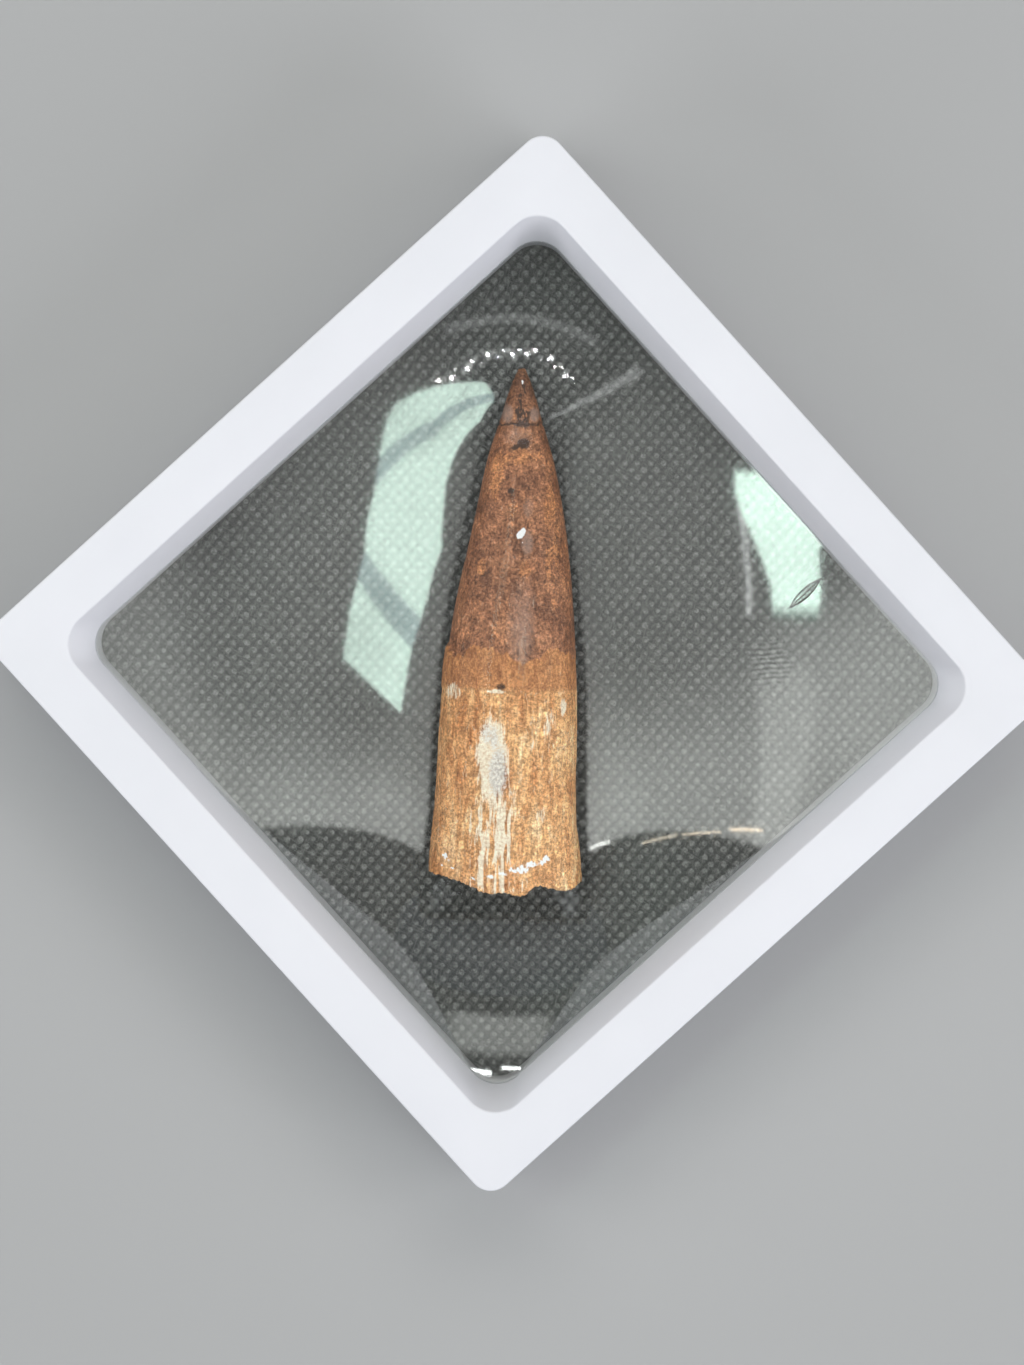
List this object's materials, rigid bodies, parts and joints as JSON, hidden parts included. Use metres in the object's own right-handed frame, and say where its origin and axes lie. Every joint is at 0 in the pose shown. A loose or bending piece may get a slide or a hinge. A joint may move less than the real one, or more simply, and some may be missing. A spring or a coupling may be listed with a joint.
{
  "type": "spinosaurus tooth in a display frame",
  "caption": "Long conical fossil tooth with a brown crown and tan root, held between clear stretched films in a shallow square white frame with a dark dotted backing.",
  "frame": {"origin": "middle of the frame's rear face, on the surface that it lies on", "axes": "+Z out of the frame's open front, X and Y along its sides; the tooth lies on the diagonal with its tip towards the +X +Y corner"},
  "size_m": [0.11, 0.11, 0.02],
  "materials": {
    "white_plastic": "smooth satin moulded",
    "clear_film": "clear glossy stretched film",
    "fossil_tooth": "mineralised enamel above, dull fibrous root below",
    "dark_sheet": "matt fibrous sheet with pressed dots"
  },
  "bodies": {
    "root": {"front_frame": "white_plastic", "back_frame": "white_plastic", "front_film": "clear_film", "back_film": "clear_film", "tooth": "fossil_tooth", "backing_sheet": "dark_sheet"}
  },
  "joints": []
}
